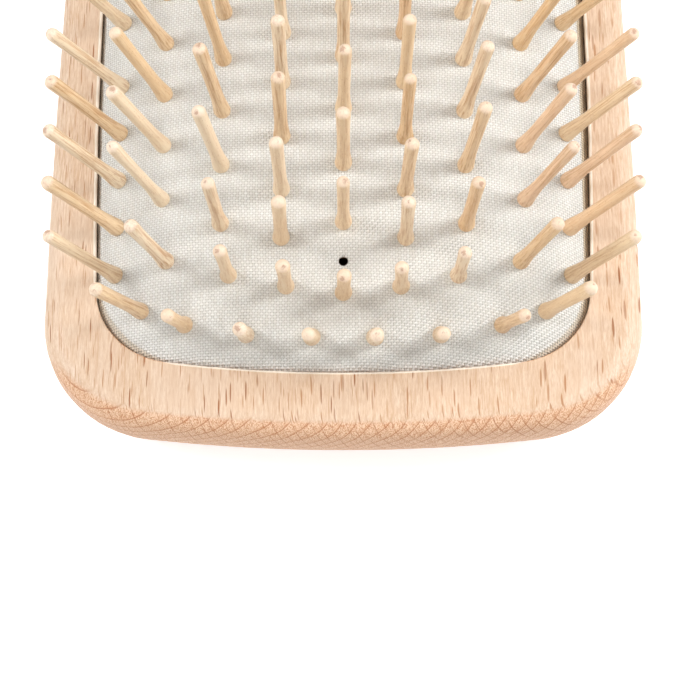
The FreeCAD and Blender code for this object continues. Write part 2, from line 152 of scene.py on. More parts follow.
def main():
    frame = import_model()
    materials = make_materials()
    pins = read_pins(frame)
    canvas, rubber = make_cushion(pins, materials)
    rows = make_pin_rows(pins, materials)
    dress_cad(frame, materials)
    stage_scene()
    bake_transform(canvas)
    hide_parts("fabric_cover")
    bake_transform(rubber)
    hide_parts("rubber_cushion")
    for name, row in rows.items():
        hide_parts("pin_" + name)
        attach(row, name)


# ------------------------------------------------------------------ cushion outline and height

def outline_arcs():
    """Quarter outline of the pad as (centre, radius, start, end), from the right side to the far end."""
    half_w, half_l = PAD_HALF
    side_bow, end_bow = PAD_BOWS
    side = np.array([half_w - side_bow, 0.0])
    end = np.array([0.0, half_l - end_bow])
    near, far = side_bow - PAD_CORNER, end_bow - PAD_CORNER
    gap = end - side
    reach = np.hypot(*gap)
    along = (near ** 2 - far ** 2 + reach ** 2) / (2 * reach)
    across = math.sqrt(near ** 2 - along ** 2)
    unit = gap / reach
    turned = np.array([-unit[1], unit[0]])
    options = [side + unit * along + turned * across * sign for sign in (1, -1)]
    corner = max(options, key=lambda p: p[0] + p[1])
    turn_side = math.atan2(corner[1] - side[1], corner[0] - side[0])
    turn_end = math.atan2(corner[1] - end[1], corner[0] - end[0])
    return [
        (side, side_bow, 0.0, turn_side),
        (corner, PAD_CORNER, turn_side, turn_end),
        (end, end_bow, turn_end, math.pi / 2),
    ]


def outline_table(count=1440):
    """Points of the whole outline at equal steps of its length, from +X, with their outward normals."""
    points, normals = [], []
    for centre, radius, start, end in outline_arcs():
        steps = max(8, int(radius * (end - start) / 0.05))
        turn = np.linspace(start, end, steps, endpoint=False)
        normal = np.stack([np.cos(turn), np.sin(turn)], 1)
        points.append(centre + radius * normal)
        normals.append(normal)
    points, normals = np.concatenate(points), np.concatenate(normals)
    top = np.array([[0.0, PAD_HALF[1]]]), np.array([[0.0, 1.0]])
    quarter, quarter_n = np.concatenate([points, top[0]]), np.concatenate([normals, top[1]])
    half = np.concatenate([quarter, quarter[-2::-1] * [-1, 1]])
    half_n = np.concatenate([quarter_n, quarter_n[-2::-1] * [-1, 1]])
    full = np.concatenate([half, half[-2:0:-1] * [1, -1]])
    full_n = np.concatenate([half_n, half_n[-2:0:-1] * [1, -1]])
    loop = np.concatenate([full, full[:1]])
    loop_n = np.concatenate([full_n, full_n[:1]])
    length = np.concatenate([[0], np.cumsum(np.hypot(*np.diff(loop, axis=0).T))])
    want = np.linspace(0, length[-1], count, endpoint=False)
    places = np.stack([np.interp(want, length, loop[:, i]) for i in (0, 1)], 1)
    outward = np.stack([np.interp(want, length, loop_n[:, i]) for i in (0, 1)], 1)
    return places, outward / np.hypot(*outward.T)[:, None]


def inside_outline(flat):
    """How far points lie inside the pad's outline."""
    across, along = np.abs(flat[:, 0]), np.abs(flat[:, 1])
    over_side = np.hypot(across - PAD_HALF[0] + PAD_BOWS[0], along) - PAD_BOWS[0] + PAD_CORNER
    over_end = np.hypot(across, along - PAD_HALF[1] + PAD_BOWS[1]) - PAD_BOWS[1] + PAD_CORNER
    outer = np.hypot(np.maximum(over_side, 0), np.maximum(over_end, 0))
    return PAD_CORNER - outer - np.minimum(np.maximum(over_side, over_end), 0)


def crown_height(share):
    """Height of the canvas where its contour is share of the outline."""
    return CROWN_EDGE + CROWN_RISE * (1 - share ** CROWN_FULLNESS)


def edge_roll(plan, share):
    """How far the canvas turns down beside the rim, over a wider band on the right than on the left."""
    sideways = np.clip(plan[:, 0] / PAD_HALF[0], -1, 1)
    right, left = np.clip(sideways, 0, 1) ** 2, np.clip(-sideways, 0, 1) ** 2
    band, depth = (ends + more * right + less * left for ends, more, less in (EDGE_BAND, EDGE_DEPTH))
    return depth * np.clip((share - 1 + band) / band, 0, 1) ** EDGE_CURVE


def square_grid(cols, rows):
    """Corner places of a grid on the square from -1 to 1, and its quads."""
    a, b = np.meshgrid(np.linspace(-1, 1, cols), np.linspace(-1, 1, rows), indexing="ij")
    places = np.stack([a.ravel(), b.ravel()], 1)
    quads = []
    for i in range(cols - 1):
        for j in range(rows - 1):
            first = i * rows + j
            quads.append((first, first + rows, first + rows + 1, first + 1))
    return places, quads


def pad_grid(cols, rows):
    """The square grid laid on the pad.

    Gives places from the pad's middle, their share of the outline, quads, the rim in order, and normals.
    """
    places, quads = square_grid(cols, rows)
    table, outward = outline_table()
    count = len(table)
    share = np.abs(places).max(1)
    safe = np.maximum(share, 1e-9)
    on_edge = places / safe[:, None]
    corner_at = int(np.argmax(table[:, 0] / PAD_HALF[0] + table[:, 1] / PAD_HALF[1]))
    quarter = count // 4
    corners = [corner_at, 2 * quarter - corner_at, 2 * quarter + corner_at, count - corner_at]
    u, v = on_edge[:, 0], on_edge[:, 1]
    right = np.isclose(u, 1)
    top = np.isclose(v, 1) & ~right
    left = np.isclose(u, -1) & ~top
    spot = np.zeros(len(places))
    c0, c1, c2, c3 = corners
    spot[right] = (v[right] * corner_at) % count
    spot[top] = c0 + (1 - u[top]) / 2 * (c1 - c0)
    spot[left] = c1 + (1 - v[left]) / 2 * (c2 - c1)
    rest = ~(right | top | left)
    spot[rest] = c2 + (1 + u[rest]) / 2 * (c3 - c2)
    index = np.floor(spot).astype(int) % count
    part = (spot - np.floor(spot))[:, None]
    edge = table[index] * (1 - part) + table[(index + 1) % count] * part
    out = outward[index] * (1 - part) + outward[(index + 1) % count] * part
    rim = [k for k in range(len(places)) if share[k] > 1 - 1e-9]
    rim.sort(key=lambda k: spot[k])
    return edge * share[:, None], share, quads, rim, out / np.maximum(np.hypot(*out.T), 1e-9)[:, None]


def crown_normals(plan, share):
    """Upward unit normals of the crown, worked out from its slope along the radius."""
    step = 1e-3
    outer, inner = np.minimum(share + step, 1.0), share - step * (share >= step)
    fall = (crown_height(outer) - crown_height(inner)) / (outer - inner)
    scaled = np.abs(plan) / PAD_HALF
    norm = np.maximum((scaled ** CROWN_POWER).sum(1) ** (1 / CROWN_POWER), 1e-6)
    steep = CROWN_POWER - 1
    grad = np.sign(plan) * scaled ** steep / np.array(PAD_HALF) / norm[:, None] ** steep
    normal = np.concatenate([-fall[:, None] * grad, np.ones((len(plan), 1))], 1)
    return normal / np.linalg.norm(normal, axis=1)[:, None]


# ------------------------------------------------------------------ pins read from the frame

def read_pins(frame):
    """For each row, the pins' seats on the canvas and their directions, taken from the CAD solids."""
    rows = {}
    for name, node in frame["nodes"].items():
        if not name.startswith("pin_row_"):
            continue
        mesh = node.data
        co = np.array([v.co for v in mesh.vertices], float).reshape(-1, 3)
        label = islands(len(co), [tuple(e.vertices) for e in mesh.edges], co)
        pins = []
        for number in sorted(set(label)):
            pts = co[label == number]
            centre = pts.mean(0)
            axis = np.linalg.svd(pts - centre, full_matrices=False)[2][0]
            axis = axis if axis[2] > 0 else -axis
            along = pts @ axis
            low = pts[along < along.min() + 0.3 * MM]
            foot = (low.min(0) + low.max(0)) / 2
            foot = foot + axis * (along.min() - foot @ axis)
            pins.append((foot - axis * PIN_FOOT_LOW * MM, axis))
        pins.sort(key=lambda pin: pin[0][0])
        rows[name.removeprefix("pin_")] = pins
    return dict(sorted(rows.items()))


def islands(count, edges, co):
    """Number of the connected piece that each vertex belongs to; vertices at one place count as joined."""
    parent = list(range(count))

    def root(k):
        while parent[k] != k:
            parent[k] = parent[parent[k]]
            k = parent[k]
        return k

    seen = {}
    for k, place in enumerate(map(tuple, np.round(co / (0.01 * MM)).astype(int))):
        first = seen.setdefault(place, k)
        parent[root(k)] = root(first)
    for a, b in edges:
        parent[root(a)] = root(b)
    return np.array([root(k) for k in range(count)])


def new_object(name, verts, faces, material, smooth=True):
    mesh = bpy.data.meshes.new(name)
    mesh.from_pydata([tuple(v) for v in verts], [], faces)
    mesh.update()
    if smooth:
        mesh.shade_smooth()
    obj = bpy.data.objects.new(name, mesh)
    bpy.context.scene.collection.objects.link(obj)
    mesh.materials.append(material)
    return obj


def pin_profile(rng):
    """Radii of one turned pin against the distance along it, both in millimetres."""
    length = PIN_LENGTH + rng.uniform(-0.25, 0.0)
    slim = rng.uniform(0.90, 1.02)
    stem = PIN_STEM * slim
    tip = PIN_TIP * slim * rng.uniform(0.96, 1.02)
    flare = rng.uniform(0.9, 1.06)
    profile = [(PIN_FOOT_LOW, 0.0), (PIN_FOOT_LOW, 2.02), (PIN_FOOT_LOW + 0.1, 2.1), (-3.42, 2.1),
               (-3.32, 2.02), (-3.3, 1.17), (-1.6, 1.12), (-0.3, 1.07), (0.0, 1.08), (0.18, 1.15)]
    for along in (0.35, 0.8, 1.4, 2.1, 2.9, 3.7, 4.6):
        swell = max(0.0, 1 - along / PIN_BELL_TOP) ** PIN_BELL_CURVE
        profile.append((along, stem + (PIN_BELL - stem) * swell * flare))
    for along in (6.0, 8.0, 10.0, 12.0, 13.6, 14.8):
        grow = max(0.0, (along - PIN_TAPER_FROM) / PIN_TAPER_OVER) ** 2
        profile.append((along, stem + (tip - stem) * min(1.0, grow)))
    shoulder = length - tip * rng.uniform(0.95, 1.12)
    for turn in (0, 14, 28, 42, 56, 70, 81):
        angle = math.radians(turn)
        profile.append((shoulder + (length - shoulder) * math.sin(angle), tip * math.cos(angle) ** 0.92))
    profile.append((length, 0.0))
    return profile, length


def make_pin(rng, seat, axis, verts, faces, tones, places):
    """Append one turned pin to a row's mesh data."""
    lean = Vector(axis)
    side = lean.orthogonal().normalized()
    other = lean.cross(side)
    spread, most = PIN_TILT
    tilt = math.radians(abs(rng.normal(0, spread)))
    heading = rng.uniform(0, 2 * math.pi)
    sway = side * math.cos(heading) + other * math.sin(heading)
    lean = (lean + sway * math.tan(min(tilt, math.radians(most)))).normalized()
    side = lean.orthogonal().normalized()
    other = lean.cross(side)
    spin = rng.uniform(0, 2 * math.pi)
    bend = rng.uniform(-0.14, 0.14)
    oval = rng.uniform(-0.02, 0.02)
    from_left = min(1.0, max(0.0, 0.5 + seat[0] / (60 * MM)))
    tone = 0.55 * rng.uniform(0, 1) + 0.45 * from_left
    shift = rng.uniform(0, 400)
    profile, length = pin_profile(rng)
    scar_turn = rng.uniform(0, 2 * math.pi)
    scar_out = rng.uniform(0.10, 0.55)
    scar_size = rng.uniform(0.02, 0.42)
    scar = np.array([scar_out * math.cos(scar_turn), scar_out * math.sin(scar_turn), length - 0.15])
    seat = Vector(seat)

    def add_vertex(centre, x, y, along):
        verts.append(tuple(centre + (side * x + other * y) * MM))
        places.append((x, y, along + shift))
        tones.append((tone, along / length, float(np.linalg.norm(scar - [x, y, along])) - scar_size))

    ring_starts = []
    for along, radius in profile:
        bow = bend * max(0.0, along / PIN_LENGTH) ** 2
        centre = seat + (lean * along + side * bow) * MM
        ring_starts.append(len(verts))
        if radius == 0.0:
            add_vertex(centre, 0.0, 0.0, along)
            continue
        for k in range(PIN_SIDES):
            turn = spin + 2 * math.pi * k / PIN_SIDES
            wobble = radius * (1 + oval * math.cos(2 * turn))
            add_vertex(centre, wobble * math.cos(turn), wobble * math.sin(turn), along)
    for index, (start, after) in enumerate(zip(ring_starts, ring_starts[1:])):
        for k in range(PIN_SIDES):
            n = (k + 1) % PIN_SIDES
            if profile[index][1] == 0.0:
                faces.append((start, after + n, after + k))
            elif profile[index + 1][1] == 0.0:
                faces.append((start + k, start + n, after))
            else:
                faces.append((start + k, start + n, after + n, after + k))


def make_pin_rows(rows, materials):
    """One mesh of turned pins for each row."""
    made = {}
    rng = np.random.default_rng(SEED)
    for name, pins in rows.items():
        verts, faces, tones, places = [], [], [], []
        for seat, axis in pins:
            make_pin(rng, seat, axis, verts, faces, tones, places)
        obj = new_object("turned_" + name, verts, faces, materials["pin"])
        give_vectors(obj, "pin_place", places)
        give_vectors(obj, "pin_tone", tones)
        made[name] = obj
    return made


def give_vectors(obj, name, values):
    attribute = obj.data.attributes.new(name, "FLOAT_VECTOR", "POINT")
    attribute.data.foreach_set("vector", np.asarray(values, np.float32).ravel())


# ------------------------------------------------------------------ canvas and rubber

def make_cushion(rows, materials):
    """The canvas, blown up and drawn in at the pins, and the rubber under it."""
    seats = np.array([seat for pins in rows.values() for seat, _ in pins]) / MM
    seats[:, 1] -= PAD_Y
    plan, share, quads, rim, out = pad_grid(*GRID)
    height = crown_height(share) - edge_roll(plan, share)
    verts = np.column_stack([plan[:, 0], plan[:, 1] + PAD_Y, height])
    gap = plan[:, None, :2] - seats[None, :, :2]
    near = np.min(np.hypot(gap[:, :, 0], gap[:, :, 1]), axis=1)
    canvas = new_object("canvas_cover", verts * MM, quads, materials["canvas"])
    held = [k for k in range(len(verts)) if share[k] > HELD_SHARE or near[k] < HELD_ROUND_PIN]
    puff(canvas, held)
    settle(canvas, near, share)
    canvas_co = coordinates(canvas)
    rubber_co = canvas_co - crown_normals(plan, share) * (CANVAS_THICK + RUBBER_GAP) * MM
    rubber = new_object("rubber_dome", rubber_co, quads, materials["rubber"])
    add_skirt(canvas, rim, out, (11.0, 10.9), FLANGE_TOP)
    add_skirt(rubber, rim, out, (10.6, 10.25), FLANGE_TOP - 0.7)
    for obj, vent, thick in ((canvas, VENT_RADIUS, CANVAS_THICK),
                             (rubber, VENT_RADIUS + VENT_UNDER, RUBBER_THICK - 0.1)):
        apply(obj, "SUBSURF", levels=1, render_levels=1)
        cut_vent(obj, vent)
        cloth_places(obj)
        apply(obj, "SOLIDIFY", thickness=thick * MM, offset=-1.0)
    return canvas, rubber


def coordinates(obj):
    co = np.zeros(len(obj.data.vertices) * 3)
    obj.data.vertices.foreach_get("co", co)
    return co.reshape(-1, 3)


def set_coordinates(obj, co):
    obj.data.vertices.foreach_set("co", np.asarray(co, float).ravel())
    obj.data.update()


def puff(obj, held):
    """Blow the canvas up between the pins with a cloth simulation, and apply the result to its mesh."""
    rest = coordinates(obj)
    group = obj.vertex_groups.new(name="held")
    group.add(held, 1.0, "REPLACE")
    cloth = obj.modifiers.new("cloth", "CLOTH")
    for key, value in CLOTH.items():
        setattr(cloth.settings, key, value)
    cloth.settings.effector_weights.gravity = 0
    cloth.collision_settings.use_collision = False
    cloth.point_cache.frame_start = 1
    cloth.point_cache.frame_end = CLOTH_FRAMES
    for frame in range(1, CLOTH_FRAMES + 1):
        bpy.context.scene.frame_set(frame)
    graph = bpy.context.evaluated_depsgraph_get()
    moved = obj.evaluated_get(graph).to_mesh()
    co = np.zeros(len(moved.vertices) * 3)
    moved.vertices.foreach_get("co", co)
    obj.evaluated_get(graph).to_mesh_clear()
    obj.modifiers.remove(cloth)
    bpy.context.scene.frame_set(1)
    shift = co.reshape(-1, 3) - rest
    far = np.linalg.norm(shift, axis=1)
    shift *= np.minimum(1.0, SWELL_CAP * MM / np.maximum(far, 1e-12))[:, None]
    set_coordinates(obj, rest + shift)
    obj.vertex_groups.clear()


def settle(obj, near, share):
    """Draw the canvas in a little at each pin."""
    co = coordinates(obj)
    dip = SAG * np.exp(-((near / SAG_REACH) ** 2)) * (share < HELD_SHARE)
    co[:, 2] -= dip * MM
    set_coordinates(obj, co)


def add_skirt(obj, rim, out, drops, flange):
    """Carry the rim straight down and then out into the groove."""
    mesh = bmesh.new()
    mesh.from_mesh(obj.data)
    mesh.verts.ensure_lookup_table()
    ring = [mesh.verts[k] for k in rim]
    outward = [Vector((*out[k], 0)) for k in rim]
    edge = [v.co.copy() for v in ring]
    steps = [(0.0, drop) for drop in drops] + [(reach, flange) for reach in SKIRT_REACHES]
    for reach, height in steps:
        fresh = []
        for place, normal in zip(edge, outward):
            flat = place + normal * reach * MM
            fresh.append(mesh.verts.new((flat.x, flat.y, height * MM)))
        count = len(ring)
        for k in range(count):
            n = (k + 1) % count
            mesh.faces.new((ring[k], fresh[k], fresh[n], ring[n]))
        ring = fresh
    bmesh.ops.recalc_face_normals(mesh, faces=mesh.faces)
    if sum(face.normal.z * face.calc_area() for face in mesh.faces) < 0:
        bmesh.ops.reverse_faces(mesh, faces=mesh.faces)
    mesh.to_mesh(obj.data)
    mesh.free()
    obj.data.shade_smooth()


def apply(obj, kind, **settings):
    """Add a modifier of this kind and apply it."""
    modifier = obj.modifiers.new(kind.lower(), kind)
    for key, value in settings.items():
        setattr(modifier, key, value)
    graph = bpy.context.evaluated_depsgraph_get()
    mesh = bpy.data.meshes.new_from_object(obj.evaluated_get(graph), preserve_all_data_layers=True,
                                           depsgraph=graph)
    obj.modifiers.clear()
    obj.data = mesh
    mesh.shade_smooth()


def cut_vent(obj, radius):
    """Open the air hole: take out the faces inside it and draw the edge left onto its circle."""
    x, y = VENT
    centre = Vector((x * MM, (y + PAD_Y) * MM))
    mesh = bmesh.new()
    mesh.from_mesh(obj.data)
    inside = []
    for face in mesh.faces:
        middle = face.calc_center_median()
        if (middle.xy - centre).length < radius * 0.95 * MM:
            inside.append(face)
    bmesh.ops.delete(mesh, geom=inside, context="FACES")
    for vert in mesh.verts:
        if vert.is_boundary and (vert.co.xy - centre).length < 2.2 * radius * MM:
            away = vert.co.xy - centre
            away = away.normalized() * radius * MM
            vert.co.x, vert.co.y = centre.x + away.x, centre.y + away.y
    mesh.to_mesh(obj.data)
    mesh.free()
    obj.data.shade_smooth()


def cloth_places(obj):
    """Give the cloth its distances from the middle along the cloth, so that the weave keeps its size on the
    slopes, and how far in from the pad's edge it is."""
    co = coordinates(obj) / MM
    flat = co[:, :2] - [0, PAD_Y]
    steps = 24
    lengths = []
    for axis in (0, 1):
        total = np.zeros(len(co))
        before = None
        for k in range(steps + 1):
            spot = flat.copy()
            spot[:, axis] *= k / steps
            share = ((np.abs(spot) / PAD_HALF) ** CROWN_POWER).sum(1) ** (1 / CROWN_POWER)
            height = crown_height(np.minimum(share, 1.0))
            here = np.column_stack([spot[:, axis], height])
            if before is not None:
                total += np.hypot(*(here - before).T)
            before = here
        lengths.append(total * np.sign(flat[:, axis]))
    pull = np.clip(flat[:, 0] - 2, 0, None) ** 2 * np.clip(-flat[:, 1] / 40, 0, 1)
    lengths[1] = lengths[1] + 0.004 * pull
    give_vectors(obj, "cloth_place", np.column_stack([*lengths, co[:, 2]]))
    sideways = flat[:, 0] / PAD_HALF[0]
    give_vectors(obj, "cloth_edge", np.column_stack([inside_outline(flat), sideways, 0 * sideways]))


# ------------------------------------------------------------------ materials

class Nodes:
    """Short calls for building one node material."""

    def __init__(self, name):
        self.material = bpy.data.materials.new(name)
        self.material.use_nodes = True
        self.tree = self.material.node_tree
        self.shader = self.tree.nodes["Principled BSDF"]

    def add(self, kind, inputs=(), **settings):
        node = self.tree.nodes.new(kind)
        for key, value in settings.items():
            setattr(node, key, value)
        for key, value in dict(inputs).items():
            self.feed(node.inputs[key], value)
        return node

    def feed(self, socket, value):
        if isinstance(value, bpy.types.NodeSocket):
            self.tree.links.new(value, socket)
        else:
            socket.default_value = value

    def math(self, operation, a, b=0.0):
        return self.add("ShaderNodeMath", {0: a, 1: b}, operation=operation).outputs[0]

    def plus(self, a, b):
        return self.math("ADD", a, b)

    def minus(self, a, b):
        return self.math("SUBTRACT", a, b)

    def times(self, a, b):
        return self.math("MULTIPLY", a, b)

    def ratio(self, a, b):
        return self.math("DIVIDE", a, b)

    def ramp(self, value, low, high, to_low=0.0, to_high=1.0):
        node = self.add("ShaderNodeMapRange", {0: value, 1: low, 2: high, 3: to_low, 4: to_high},
                        interpolation_type="SMOOTHSTEP", clamp=True)
        return node.outputs[0]

    def mix(self, factor, a, b, blend="MIX"):
        node = self.add("ShaderNodeMix", data_type="RGBA", blend_type=blend)
        self.feed(node.inputs["Factor"], factor)
        for key, value in ((6, a), (7, b)):
            self.feed(node.inputs[key], value)
        return node.outputs[2]

    def vector(self, source, scale):
        node = self.add("ShaderNodeVectorMath", {0: source, 1: scale}, operation="MULTIPLY")
        return node.outputs[0]

    def noise(self, vector, scale=1.0, detail=2.0, roughness=0.5):
        node = self.add("ShaderNodeTexNoise", {"Vector": vector, "Scale": scale, "Detail": detail,
                                               "Roughness": roughness})
        return node.outputs["Fac"]

    def cells(self, vector):
        return self.add("ShaderNodeTexVoronoi", {"Vector": vector, "Scale": 1.0})

    def split(self, vector):
        node = self.add("ShaderNodeSeparateXYZ", {0: vector})
        return node.outputs

    def join(self, x, y, z):
        return self.add("ShaderNodeCombineXYZ", {0: x, 1: y, 2: z}).outputs[0]

    def attribute(self, name):
        return self.add("ShaderNodeAttribute", attribute_name=name).outputs["Vector"]

    def bump(self, height, distance, strength):
        node = self.add("ShaderNodeBump", {"Height": height, "Distance": distance, "Strength": strength})
        return node.outputs[0]

    def finish(self, color, roughness, normal=None, **fixed):
        self.feed(self.shader.inputs["Base Color"], color)
        self.feed(self.shader.inputs["Roughness"], roughness)
        if normal is not None:
            self.feed(self.shader.inputs["Normal"], normal)
        for key, value in fixed.items():
            self.shader.inputs[key.replace("_", " ")].default_value = value
        return self.material


def srgb(r, g, b):
    """Linear colour, with alpha, of an sRGB colour given from 0 to 255."""
    def linear(c):
        c /= 255
        return c / 12.92 if c <= 0.04045 else ((c + 0.055) / 1.055) ** 2.4
    return (linear(r), linear(g), linear(b), 1.0)


def make_materials():
    return {
        "beech": beech(),
        "pin": pin_wood(),
        "canvas": canvas_weave(),
        "rubber": rubber_skin(),
        "adhesive": set_glue(),
    }


def beech():
    """Beech in solid texture: growth rings and rays about a pith outside the board, fibres along Y."""
    n = Nodes("beech")
    coordinates_node = n.add("ShaderNodeTexCoord")
    mm = n.vector(coordinates_node.outputs["Object"], (1000, 1000, 1000))
    x, y, z = n.split(mm)
    wander = n.minus(n.noise(n.vector(mm, (0.05, 0.012, 0.05)), detail=2), 0.5)
    dx = n.plus(n.minus(x, PITH[0]), n.times(wander, 4.0))
    dz = n.plus(n.minus(z, PITH[1]), n.times(wander, 2.5))
    radius = n.math("SQRT", n.plus(n.times(dx, dx), n.times(dz, dz)))
    arc = n.times(n.math("ARCTAN2", dz, dx), RAY_REACH)
    facing = n.math("ABSOLUTE", n.split(coordinates_node.outputs["Normal"])[1])
    end = n.ramp(facing, 0.26, 0.55)

    fibre = n.noise(n.vector(mm, (4.6, 0.30, 4.6)), detail=5, roughness=0.72)
    fine = n.noise(n.vector(mm, (10.0, 0.75, 10.0)), detail=3, roughness=0.7)
    broad = n.noise(n.vector(mm, (0.14, 0.03, 0.14)), detail=2)
    face = n.mix(n.ramp(fibre, 0.34, 0.66), srgb(233, 211, 189), srgb(214, 182, 151))
    face = n.mix(n.times(n.ramp(fine, 0.44, 0.64), 0.50), face, srgb(197, 158, 125))
    face = n.mix(n.times(n.ramp(broad, 0.35, 0.7), 0.40), face, srgb(230, 208, 188))

    ring_drift = n.noise(n.vector(mm, (0.10, 0.012, 0.10)), detail=1)
    ring = n.math("FRACT", n.plus(n.ratio(radius, RING_PITCH), n.times(ring_drift, 1.6)))
    ring_line = n.times(n.ramp(ring, 0.86, 0.97), n.ramp(ring, 1.0, 0.982))
    late_wood = n.ramp(ring, 0.35, 1.0)

    def dashes(cell, width, picks):
        """One dash in each cell; a cell is measured across the rays, along the fibre and along the radius."""
        found = n.cells(n.join(n.ratio(arc, cell[0]), n.ratio(y, cell[1]), n.ratio(radius, cell[2])))
        return n.times(n.ramp(found.outputs["Distance"], *width),
                       n.ramp(n.split(found.outputs["Color"])[0], *picks))

    short_dash = dashes((0.27, 5.0, 2.0), (0.34, 0.22), (0.15, 0.95, 0.05, 0.95))
    long_dash = dashes((0.60, 9.0, 3.0), (0.20, 0.13), (0.0, 0.8, 0.40, 1.0))

    face = n.mix(n.times(late_wood, 0.14), face, srgb(207, 169, 133))
    face = n.mix(n.times(ring_line, 0.14), face, srgb(192, 147, 109))
    face = n.mix(short_dash, face, srgb(184, 134, 95))
    face = n.mix(long_dash, face, srgb(161, 107, 70))

    ray_drift = n.noise(n.join(n.times(arc, 0.35), n.times(radius, 0.06), 3.0), detail=1)
    ray = n.math("FRACT", n.plus(n.ratio(arc, RAY_PITCH), n.times(ray_drift, 1.6)))
    ray_ends = n.noise(n.join(n.times(arc, 0.9), n.times(radius, 0.30), 0.0), detail=1)
    end_ray = n.times(n.times(n.ramp(ray, 0.84, 0.93), n.ramp(ray, 1.0, 0.96)),
                     n.ramp(ray_ends, 0.35, 0.60, 0.2, 1.0))
    pores = n.noise(n.vector(mm, (8.0, 1.2, 8.0)), detail=3, roughness=0.8)
    end_face = n.mix(n.ramp(pores, 0.44, 0.60), srgb(236, 204, 173), srgb(190, 128, 86))
    end_face = n.mix(n.times(late_wood, 0.22), end_face, srgb(205, 145, 98))
    end_face = n.mix(n.times(ring_line, 0.85), end_face, srgb(177, 109, 67))
    end_face = n.mix(n.times(end_ray, 0.80), end_face, srgb(175, 111, 70))
    color = n.mix(end, face, end_face)

    # A thin bright line on the board's top along the edge of the recess's mouth is a painted highlight.
    painted_rim_highlight = n.times(n.ramp(mouth_distance(n, x, y), 0.42, 0.26), n.ramp(z, 12.5, 12.8))
    color = n.mix(n.times(painted_rim_highlight, 0.75), color, srgb(255, 250, 238))

    marks = n.plus(n.times(short_dash, 0.4), n.times(long_dash, 0.6))
    height = n.minus(n.times(fibre, 0.35), marks)
    rough = n.ramp(fibre, 0.2, 0.8, 0.42, 0.58)
    return n.finish(color, rough, n.bump(height, 0.00003, 0.5), Specular_IOR_Level=0.38)


def mouth_distance(n, x, y):
    """How far a point of the board lies from the edge of the recess's mouth, outwards."""
    corner = PAD_CORNER + MOUTH_GAP
    over = []
    for across, along, half, bow in ((x, n.minus(y, PAD_Y), PAD_HALF[0], PAD_BOWS[0]),
                                     (n.minus(y, PAD_Y), x, PAD_HALF[1], PAD_BOWS[1])):
        from_centre = n.plus(n.math("ABSOLUTE", across), bow - half)
        reach = n.math("SQRT", n.plus(n.times(from_centre, from_centre), n.times(along, along)))
        over.append(n.minus(reach, bow + MOUTH_GAP - corner))
    outer = [n.math("MAXIMUM", value, 0.0) for value in over]
    round_part = n.math("SQRT", n.plus(n.times(outer[0], outer[0]), n.times(outer[1], outer[1])))
    flat_part = n.math("MINIMUM", n.math("MAXIMUM", *over), 0.0)
    return n.minus(n.plus(round_part, flat_part), corner)


def pin_wood():
    """Pale turned wood: streaks along each pin, a tone of its own for each pin, a scar at its tip and a
    painted highlight on it.
    """
    n = Nodes("pin_wood")
    place = n.attribute("pin_place")
    tone, along, from_scar = n.split(n.attribute("pin_tone"))
    streak = n.noise(n.vector(place, (3.6, 3.6, 0.14)), detail=3, roughness=0.6)
    fine = n.noise(n.vector(place, (11.0, 11.0, 0.5)), detail=2)
    own = n.math("FRACT", n.times(tone, 7.3))
    color = n.mix(n.ramp(tone, 0.15, 0.80), srgb(241, 223, 195), srgb(225, 190, 142))
    color = n.mix(n.ramp(tone, 0.70, 0.95), color, srgb(232, 198, 166))
    color = n.mix(n.times(n.ramp(streak, 0.40, 0.68), n.ramp(own, 0.0, 1.0, 0.25, 0.90)), color,
                  srgb(190, 146, 100))
    color = n.mix(n.times(n.ramp(fine, 0.42, 0.70), 0.35), color, srgb(246, 228, 199))
    specks = n.cells(n.vector(place, (4.2, 4.2, 1.1)))
    speck = n.ramp(specks.outputs["Distance"], 0.28, 0.1)
    color = n.mix(n.times(speck, 0.35), color, srgb(178, 125, 81))
    grit = n.noise(n.vector(place, (3.0, 3.0, 3.0)), detail=4, roughness=0.75)
    ragged = n.plus(from_scar, n.times(n.minus(grit, 0.5), 1.3))
    scar = n.times(n.ramp(ragged, 0.12, -0.12), n.ramp(along, 0.95, 0.975))
    # The paler ends at the tips are a painted highlight.
    color = n.mix(n.times(n.ramp(along, 0.94, 0.985), 0.55), color, srgb(243, 220, 201))
    color = n.mix(n.times(scar, 0.62), color, srgb(164, 112, 83))
    height = n.minus(n.times(streak, 0.6), n.times(scar, 0.7))
    return n.finish(color, n.ramp(streak, 0.2, 0.8, 0.34, 0.50), n.bump(height, 0.00004, 0.5),
                    Specular_IOR_Level=0.5)


